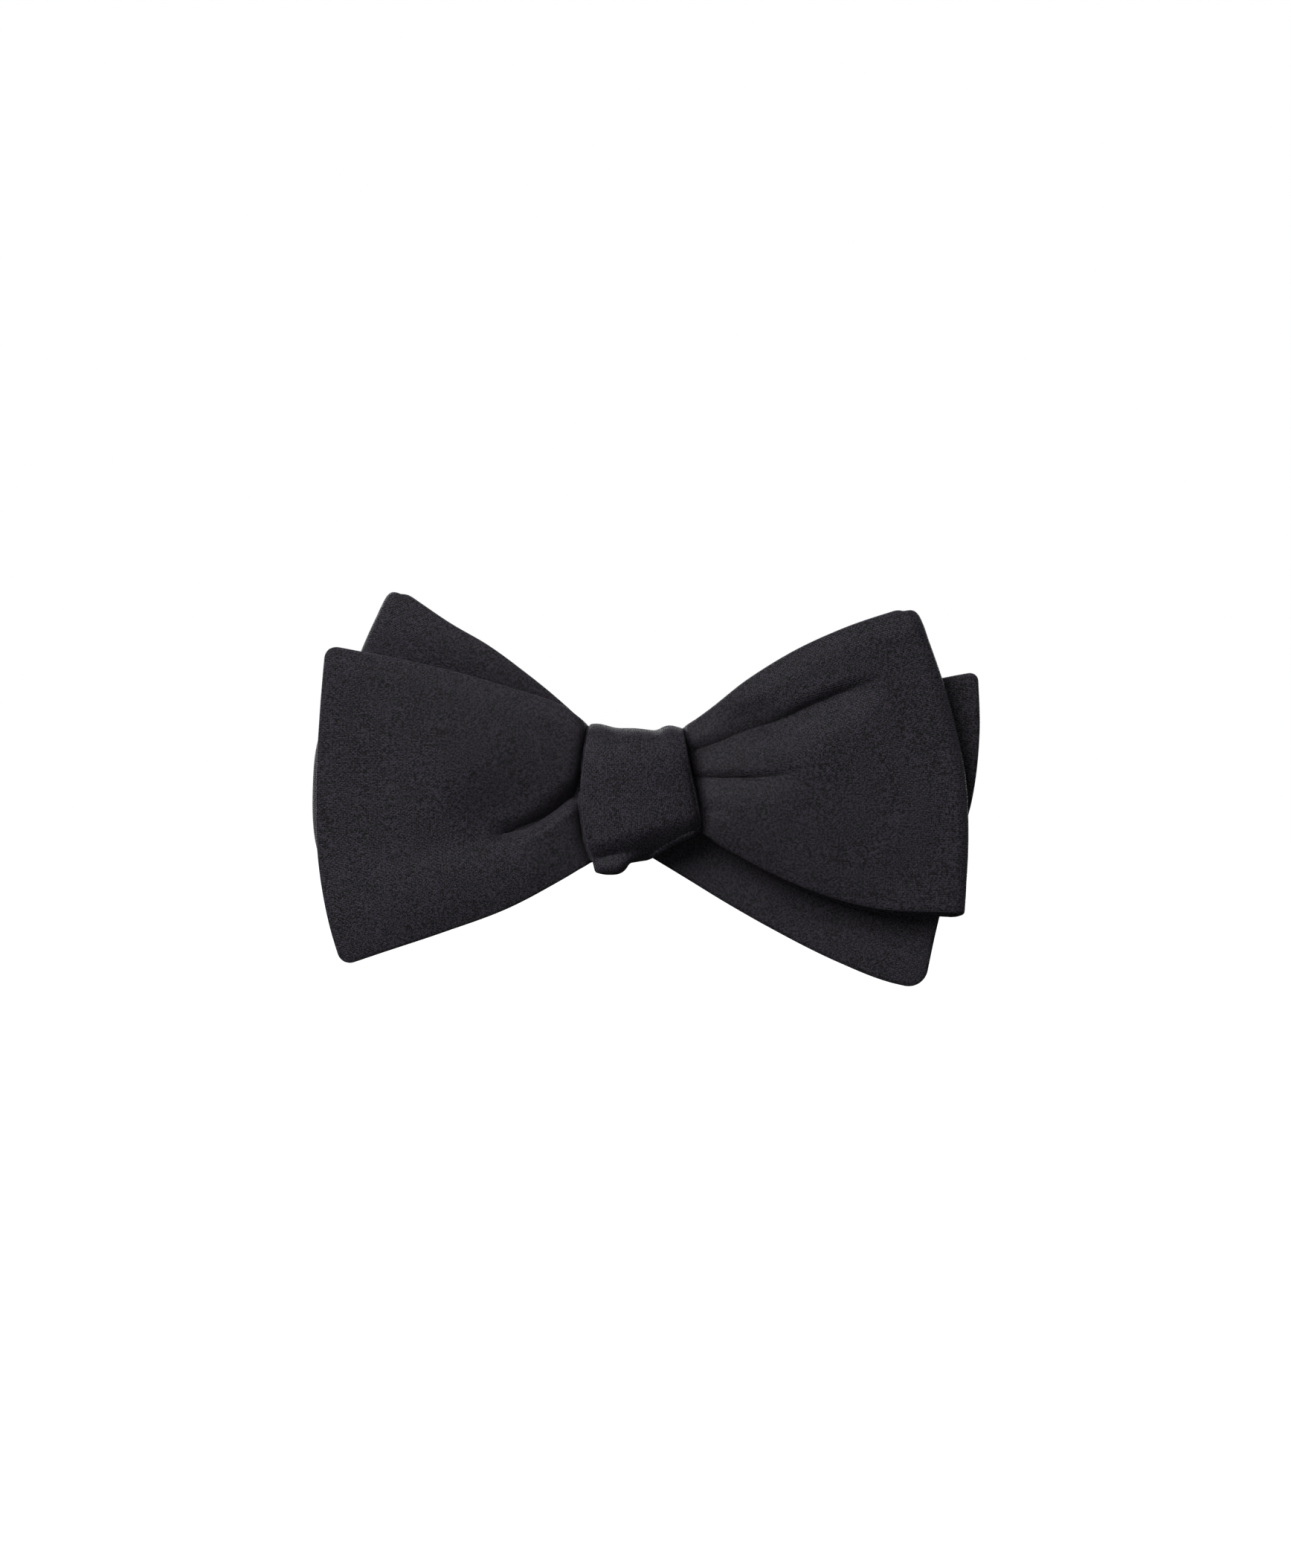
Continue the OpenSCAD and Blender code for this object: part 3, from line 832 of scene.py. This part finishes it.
def strap_piece(name, plan, height, half, nodes, z_shift=0.0, edge_round=0.6):
    """A flat strap standing on edge along a plan path.

    height, half and z_shift are its half height, half thickness and rise at each point."""
    plan = np.asarray(plan, float)
    count = len(plan)
    height = np.broadcast_to(np.asarray(height, float), (count,))
    shift = np.broadcast_to(np.asarray(z_shift, float), (count,))
    v = fine_ends(BAND_H, STRAP_STEP, ends=STRAP_ENDS) * 2 - 1
    run = run_along(plan)
    mid = np.zeros((count, len(v), 3))
    mid[..., :2] = plan[:, None, :]
    mid[..., 2] = shift[:, None] + height[:, None] * v[None, :]
    edge = (1 - np.abs(v))[None, :] * height[:, None]
    half = np.broadcast_to(np.asarray(half, float), (count,))[:, None]
    thick = half * round_profile(edge, edge_round)
    piece = cloth_object(name, mid, thick, weave_grid(run, v * BAND_H / 2), SILK)
    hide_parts(*nodes)
    return piece


# Where a band end leaves the neck circle, in degrees from the side and in mm, and how far it runs across
LEAVES_DEG = 82
LEAVES_X = 8.17
LEAVES_Y = -58.13
CROSS_RUN = 14.3
CROSS_STEPS = 22
# What it is pulled into behind the knot: its half height, and how far forward it goes
CROSS_HALF_H = 4.6
INTO_KNOT = 7.0
# The grid's steps from there to the side of the neck, and the degrees over which the lift dies away
BAND_STEPS = 50
LIFT_ENDS = (24, 2)


def crossing(side, lift, rise):
    """Plan, half height and rise of a band end that leaves the neck circle and crosses behind the knot."""
    t = np.linspace(1, 0, CROSS_STEPS, endpoint=False)
    x = side * (LEAVES_X - CROSS_RUN * t)
    ease = smoothstep(0, 1, t)
    y = LEAVES_Y - lift - 1.0 * ease - INTO_KNOT * smoothstep(0.45, 1, t)
    return np.stack([x, y], -1), (BAND_H / 2) * (1 - ease) + CROSS_HALF_H * ease, rise * ease


def band_piece(name, nodes, side, lift, rise, rear):
    """One side of the neckband, from behind the knot past the side of the neck and along rear."""
    ends, height, shift = crossing(side, lift, rise)
    from_deg, to_deg = (-LEAVES_DEG, 0) if side > 0 else (180 + LEAVES_DEG, 180)
    degrees = np.linspace(from_deg, to_deg, BAND_STEPS)
    off = lift * smoothstep(*LIFT_ENDS, np.abs(degrees - degrees[0]))
    front = arc(1.0, degrees) * (MID_R + off)[:, None]
    level = len(front) + len(rear)
    return strap_piece(
        name,
        np.concatenate([ends, front, rear]),
        np.concatenate([height, np.full(level, BAND_H / 2)]),
        BAND_HALF,
        nodes,
        np.concatenate([shift, np.zeros(level)]),
    )


right_band = band_piece(
    "neckband_right_cloth",
    ["band_front_right", "band_front_right_interlining", "band_crossing_under"]
    + ["band_rear_right", "band_rear_right_interlining"],
    side=1,
    lift=0.5,
    rise=4.5,
    rear=arc(LAP_MID_R, np.linspace(0, STRAP_END_DEG, 44)[1:], -LAP),
)
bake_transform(right_band)
left_band = band_piece(
    "neckband_left_cloth",
    ["band_front_left", "band_front_left_interlining", "band_crossing_over"]
    + ["band_rear_left", "band_rear_left_interlining"],
    side=-1,
    lift=2.6,
    rise=-4.5,
    rear=arc(MID_R, np.linspace(180, EYE_DEG + 1.6, 54)[1:]),
)
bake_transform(left_band)

# ---- Strap ends at the eye, the hook and the slide ----

# The radius at which each strap end turns round its bar, to the middle of the cloth
EYE_TURN = 1.1
HOOK_TURN = 1.5
SLIDE_TURN = 0.95
# Half thicknesses of the eye's loop and of the strap over the slide's middle bar
SINGLE_HALF = 0.29
CREST_HALF = 0.36
# The wave over that bar: how far below the slide its ends are, its rise, and its reach in degrees
CREST_LOW = 1.05
CREST_RISE = 2.25
CREST_REACH = 2.9
# The steps over which the return leaf thins
THIN_STEPS = 6


def turn_points(radius, degrees, centre_r, centre_deg, cx, steps):
    """Plan points round a bar that stands at (centre_r, centre_deg): degrees is the turn, from outwards."""
    a = np.radians(centre_deg)
    out = np.array([math.cos(a), math.sin(a)])
    ahead = np.array([-math.sin(a), math.cos(a)])
    t = np.radians(np.linspace(*degrees, steps))
    centre = out * centre_r + np.array([cx, 0])
    return centre + radius * (np.cos(t)[:, None] * out + np.sin(t)[:, None] * ahead)


eye_turn = turn_points(EYE_TURN, (-180, -360), EYE_R, EYE_DEG, 0, 16)
eye_tail = arc(EYE_R + EYE_TURN, np.linspace(EYE_DEG + 0.5, EYE_DEG + 12, 22))
eye_cloth = strap_piece(
    "eye_end_cloth",
    np.concatenate([eye_turn, eye_tail]),
    BAND_H / 2,
    SINGLE_HALF,
    ["eye_loop", "eye_loop_tail"],
)
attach(eye_cloth, "left_strap")

leaf_in = arc(LAP_MID_R, np.linspace(STRAP_END_DEG, HOOK_DEG - 0.3, 26), -LAP)
hook_turn = turn_points(HOOK_TURN, (180, 0), TURN_R, HOOK_DEG, -LAP, 20)
hook_cloth = strap_piece(
    "hook_end_cloth",
    np.concatenate([leaf_in, hook_turn]),
    BAND_H / 2,
    BAND_HALF,
    ["hook_leaf", "hook_loop"],
)
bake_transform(hook_cloth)

outer_r = TURN_R + HOOK_TURN
leaf_out = arc(outer_r, np.linspace(HOOK_DEG - 0.2, SLIDE_DEG + BAR_STEP + 1.2, 52), -LAP)
bar_turn = turn_points(SLIDE_TURN, (20, -300), SLIDE_R, SLIDE_DEG + BAR_STEP, -LAP, 26)
# The leaf is double until it thins to the single cloth of its turn round the bar
return_half = np.concatenate(
    [
        np.full(len(leaf_out) - THIN_STEPS, 0.66),
        np.linspace(0.62, 0.32, THIN_STEPS),
        np.full(len(bar_turn), 0.3),
    ]
)
return_cloth = strap_piece(
    "return_leaf_cloth",
    np.concatenate([leaf_out, bar_turn]),
    BAND_H / 2,
    return_half,
    ["return_leaf", "slide_loop"],
)
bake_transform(return_cloth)

# The strap rises in a wave over the slide's middle bar
steps = np.linspace(-3.2, 3.0, 26)
crest = np.cos(np.clip(steps / CREST_REACH, -1, 1) * math.pi / 2) ** 2
wave = SLIDE_R - CREST_LOW + CREST_RISE * crest
crest_plan = np.stack([arc(r, SLIDE_DEG + d, -LAP) for r, d in zip(wave, steps)])
crest_cloth = strap_piece(
    "slide_crest_cloth",
    crest_plan,
    BAND_H / 2,
    CREST_HALF,
    ["slide_crest"],
    edge_round=0.4,
)
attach(crest_cloth, "slide")

# ---- Metalwork ----

# Wires: their radius, the rings' and the hook's corners, the parts in each corner, and the longest step
WIRE = 0.5
RING_CORNER = 1.4
HOOK_CORNER = 1.2
CORNER_PARTS = 8
WIRE_STEP = 1.2


def ring_path(from_deg, to_deg, half_z, corner, radius, cx):
    """A rectangle with round corners, bent round the neck: points in mm."""
    half_s = math.radians(to_deg - from_deg) * radius / 2
    mid_deg = (from_deg + to_deg) / 2
    points = []
    for qs, qz, start in ((1, 1, 0), (-1, 1, 90), (-1, -1, 180), (1, -1, 270)):
        for k in range(CORNER_PARTS + 1):
            a = math.radians(start + 90 * k / CORNER_PARTS)
            s = qs * (half_s - corner) + corner * math.cos(a)
            z = qz * (half_z - corner) + corner * math.sin(a)
            points.append((s, z))
    dense = []
    for (s0, z0), (s1, z1) in zip(points, points[1:] + points[:1]):
        count = max(1, int(math.hypot(s1 - s0, z1 - z0) / WIRE_STEP))
        dense += [(s0 + (s1 - s0) * k / count, z0 + (z1 - z0) * k / count) for k in range(count)]
    path = []
    for s, z in dense:
        x, y = arc(radius, mid_deg + math.degrees(s / radius), cx)
        path.append((x, y, z))
    return path


def bar_path(degrees, half_z, radius, cx):
    """An upright wire: points in mm."""
    x, y = arc(radius, degrees, cx)
    return [(x, y, z) for z in np.linspace(-half_z, half_z, 12)]


def joined(name, pieces):
    """One object from several, so that what is joined on the real thing is one piece."""
    with bpy.context.temp_override(
        active_object=pieces[0], selected_editable_objects=pieces, selected_objects=pieces
    ):
        bpy.ops.object.join()
    pieces[0].name = name
    return pieces[0]


def metal(piece, node, body):
    """Says what a metal piece stands for and what it moves with."""
    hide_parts(node)
    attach(piece, body)


eye_ring = tube_object(
    "eye_wire",
    ring_path(EYE_DEG - EYE_SPAN, EYE_DEG, RAIL_Z, RING_CORNER, EYE_R, 0),
    WIRE,
    NICKEL,
    closed=True,
)
metal(eye_ring, "eye", "eye")

slide_wires = [
    tube_object(
        "slide_wire",
        ring_path(SLIDE_DEG - BAR_STEP, SLIDE_DEG + BAR_STEP, RAIL_Z, RING_CORNER, SLIDE_R, -LAP),
        WIRE,
        NICKEL,
        closed=True,
        centre=(-LAP, 0),
    ),
    tube_object(
        "slide_bar", bar_path(SLIDE_DEG, RAIL_Z, SLIDE_R, -LAP), WIRE, NICKEL, centre=(-LAP, 0)
    ),
]
metal(joined("slide_wirework", slide_wires), "slide", "slide")


# The tongue's half height at its root, its last steps, its half thickness and how far its edges are rounded
TONGUE_HALF_H = 4.4
TONGUE_TIP = [4.3, 4.2, 4.0, 3.7, 3.2, 2.4]
TONGUE_HALF = 0.38
TONGUE_ROUND = 0.4
# Its bend's place past the hook's ring, in degrees, and the length and step of its straight, in mm
TONGUE_DEG = 5
TONGUE_RUN = 5.4
TONGUE_STEP = 0.6


def tongue_plan():
    """The hook's tongue: out from the cross wire, round and back under it."""
    a = math.radians(HOOK_DEG + HOOK_SPAN + TONGUE_DEG)
    out = np.array([math.cos(a), math.sin(a)])
    ahead = np.array([-math.sin(a), math.cos(a)])
    centre = out * (TURN_R - 0.5) + np.array([-LAP, 0])
    straight = [(1.0, -TONGUE_RUN + TONGUE_STEP * k) for k in range(9)]
    bend = [(math.cos(t), math.sin(t)) for t in np.linspace(0, math.pi, 15)]
    back = [(-1.0 + 0.12 * (k / 4) ** 2, -TONGUE_STEP * k) for k in range(1, 5)]
    return np.array([centre + r * out + s * ahead for r, s in straight + bend + back])


def hook_tongue():
    """The tongue as a strip of metal that narrows and thins at its end."""
    plan = tongue_plan()
    count = len(plan)
    v = np.array([-1, -0.985, -0.95, -0.9, -0.8, -0.5, 0, 0.5, 0.8, 0.9, 0.95, 0.985, 1])
    taper = np.full(count, TONGUE_HALF_H)
    taper[-len(TONGUE_TIP) :] = TONGUE_TIP
    mid = np.zeros((count, len(v), 3))
    mid[..., :2] = plan[:, None, :]
    mid[..., 2] = taper[:, None] * v[None, :]
    edge = (1 - np.abs(v))[None, :] * taper[:, None]
    half = TONGUE_HALF * round_profile(edge, TONGUE_ROUND)
    half[-1] *= 0.4
    return cloth_object("hook_tongue", mid, half, mid[..., :2], NICKEL)


hook_wires = [
    tube_object(
        "hook_wire",
        ring_path(HOOK_DEG, HOOK_DEG + HOOK_SPAN, RAIL_Z, HOOK_CORNER, TURN_R, -LAP),
        WIRE,
        NICKEL,
        closed=True,
        centre=(-LAP, 0),
    ),
    hook_tongue(),
]
metal(joined("hook_metalwork", hook_wires), "hook", "hook")

# ---- Stitching and label ----

# Half the height of a bartack, its zigzag's reach to each side, its corners and its thread's radius
BARTACK_HALF_H = 7.4
BARTACK_SIDE = 0.5
BARTACK_POINTS = 66
BARTACK_THREAD = 0.16


def bartack(name, node, body, radius, degrees, cx):
    """A close zigzag of thread across the strap."""
    path = []
    for k in range(BARTACK_POINTS):
        z = -BARTACK_HALF_H + 2 * BARTACK_HALF_H * k / (BARTACK_POINTS - 1)
        side = BARTACK_SIDE if k % 2 else -BARTACK_SIDE
        x, y = arc(radius, degrees + math.degrees(side / radius), cx)
        path.append((x, y, z))
    piece = tube_object(name, path, BARTACK_THREAD, THREAD, sides=6, centre=(cx, 0))
    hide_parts(node)
    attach(piece, body)


bartack("eye_bartack_thread", "eye_bartack", "left_strap", EYE_R + 1.42, EYE_DEG + 3.2, 0)
bartack(
    "slide_bartack_thread", "slide_bartack", "slide", outer_r + 0.72, SLIDE_DEG + BAR_STEP + 2.9, -LAP
)

# The label lies on the band's outside between these two places, in degrees
LABEL_FROM, LABEL_TO = 124, 150
LABEL_R = NECK_R + BAND_T + 0.17
LABEL_HALF_H = 6.5
LABEL_HALF = 0.12
# Its stitches: their thread's radius, their length and how far they bow out
STITCH_THREAD = 0.17
STITCH_LENGTH = 1.1
STITCH_RISE = 0.12

label_plan = arc(LABEL_R, np.linspace(LABEL_FROM, LABEL_TO, 26))
label_z = np.linspace(-LABEL_HALF_H, LABEL_HALF_H, 9)
label_mid = np.zeros((len(label_plan), len(label_z), 3))
label_mid[..., :2] = label_plan[:, None, :]
label_mid[..., 2] = label_z[None, :]
label_half = np.full(label_mid.shape[:2], LABEL_HALF)
label_weave = weave_grid(run_along(label_plan), label_z)
label_cloth = cloth_object("label_tape_cloth", label_mid, label_half, label_weave, LABEL_TAPE)
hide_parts("label")
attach(label_cloth, "left_strap")


def label_stitches(degrees):
    """A row of short stitches down one end of the label."""
    rise = STITCH_RISE * np.sin(np.linspace(0, math.pi, 7))
    x, y = arc(LABEL_R + 0.1 + rise, degrees).T
    down = np.linspace(0, -STITCH_LENGTH, 7)
    rows = [np.stack([x, y, top + down], -1) for top in np.linspace(5.9, -4.8, 7)]
    return [tube_object("label_stitch", row, STITCH_THREAD, THREAD, sides=6) for row in rows]


stitches = joined("label_stitch_thread", label_stitches(LABEL_FROM + 1) + label_stitches(LABEL_TO - 1))
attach(stitches, "left_strap")

# ---- Stage, light and camera ----

# The studio's grey from above and from below, and the heights between which it changes
SKY_ABOVE = 0.3
SKY_BELOW = 0.03
SKY_FROM = -0.4
SKY_TO = 1.0


def world():
    """A white backdrop for the camera, and a soft grey sky for everything else."""
    w = bpy.data.worlds.new("studio")
    bpy.context.scene.world = w
    w.use_nodes = True
    tree = w.node_tree
    tree.nodes.clear()
    out = tree.nodes.new("ShaderNodeOutputWorld")
    mix = tree.nodes.new("ShaderNodeMixShader")
    seen = tree.nodes.new("ShaderNodeBackground")
    lit = tree.nodes.new("ShaderNodeBackground")
    seen.inputs["Color"].default_value = (1, 1, 1, 1)
    seen.inputs["Strength"].default_value = 1.0
    lit.inputs["Strength"].default_value = 1.0
    place = tree.nodes.new("ShaderNodeTexCoord")
    split = tree.nodes.new("ShaderNodeSeparateXYZ")
    level = tree.nodes.new("ShaderNodeMapRange")
    level.inputs["From Min"].default_value = SKY_FROM
    level.inputs["From Max"].default_value = SKY_TO
    level.inputs["To Min"].default_value = SKY_BELOW
    level.inputs["To Max"].default_value = SKY_ABOVE
    tree.links.new(place.outputs["Generated"], split.inputs[0])
    tree.links.new(split.outputs["Z"], level.inputs[0])
    tree.links.new(level.outputs[0], lit.inputs["Color"])
    path = tree.nodes.new("ShaderNodeLightPath")
    tree.links.new(path.outputs["Is Camera Ray"], mix.inputs[0])
    tree.links.new(lit.outputs[0], mix.inputs[1])
    tree.links.new(seen.outputs[0], mix.inputs[2])
    tree.links.new(mix.outputs[0], out.inputs[0])


# The middle of the knot, which every light points at
LIT_POINT = Vector((0, -0.07, 0))


def area_light(name, place, size, power):
    """A round lamp, size metres across and of power watts."""
    light = bpy.data.lights.new(name, "AREA")
    light.shape = "DISK"
    light.size = size
    light.energy = power
    obj = bpy.data.objects.new(name, light)
    obj.location = place
    obj.rotation_euler = (LIT_POINT - Vector(place)).to_track_quat("-Z", "Y").to_euler()
    bpy.context.scene.collection.objects.link(obj)


world()
area_light("key", (-0.45, -0.95, 0.55), size=0.7, power=12.9)
area_light("fill", (0, -1.15, -0.2), size=0.7, power=1.0)
area_light("back_left", (-0.7, 1.0, 0.55), size=0.8, power=9)
area_light("back_right", (0.5, 1.2, 0.3), size=0.6, power=4)

floor_nodes = Nodes("pale_floor")
floor_nodes.shader.inputs["Base Color"].default_value = (0.9, 0.9, 0.9, 1)
floor_nodes.shader.inputs["Roughness"].default_value = 0.9
floor_nodes.shader.inputs["Specular IOR Level"].default_value = 0.0
floor_nodes.shader.inputs["Emission Color"].default_value = (1, 1, 1, 1)
floor_nodes.shader.inputs["Emission Strength"].default_value = 0.95
# The floor's reach to each side, and its height, in mm
FAR = 30000.0
LOW = -320.0
floor = mesh_object(
    "floor",
    [(-FAR, -FAR, LOW), (FAR, -FAR, LOW), (FAR, FAR, LOW), (-FAR, FAR, LOW)],
    [[0, 1, 2, 3]],
    floor_nodes.material,
)
floor.visible_diffuse = False
floor.visible_glossy = False

# The height that the frame takes in at the bow's front, and the point of the front at its middle, in metres
VIEW_HEIGHT = 0.2877
VIEW_X = 0.0010
VIEW_Y = -0.078
VIEW_Z = 0.0024
camera_data = bpy.data.cameras.new("camera")
camera_data.lens = 135
camera_data.sensor_width = 36
camera = bpy.data.objects.new("camera", camera_data)
bpy.context.scene.collection.objects.link(camera)
distance = VIEW_HEIGHT * camera_data.lens / camera_data.sensor_width
camera.location = (VIEW_X, VIEW_Y - distance, VIEW_Z)
camera.rotation_euler = (math.radians(90), 0, 0)
bpy.context.scene.camera = camera
bpy.context.scene.view_settings.view_transform = "Standard"
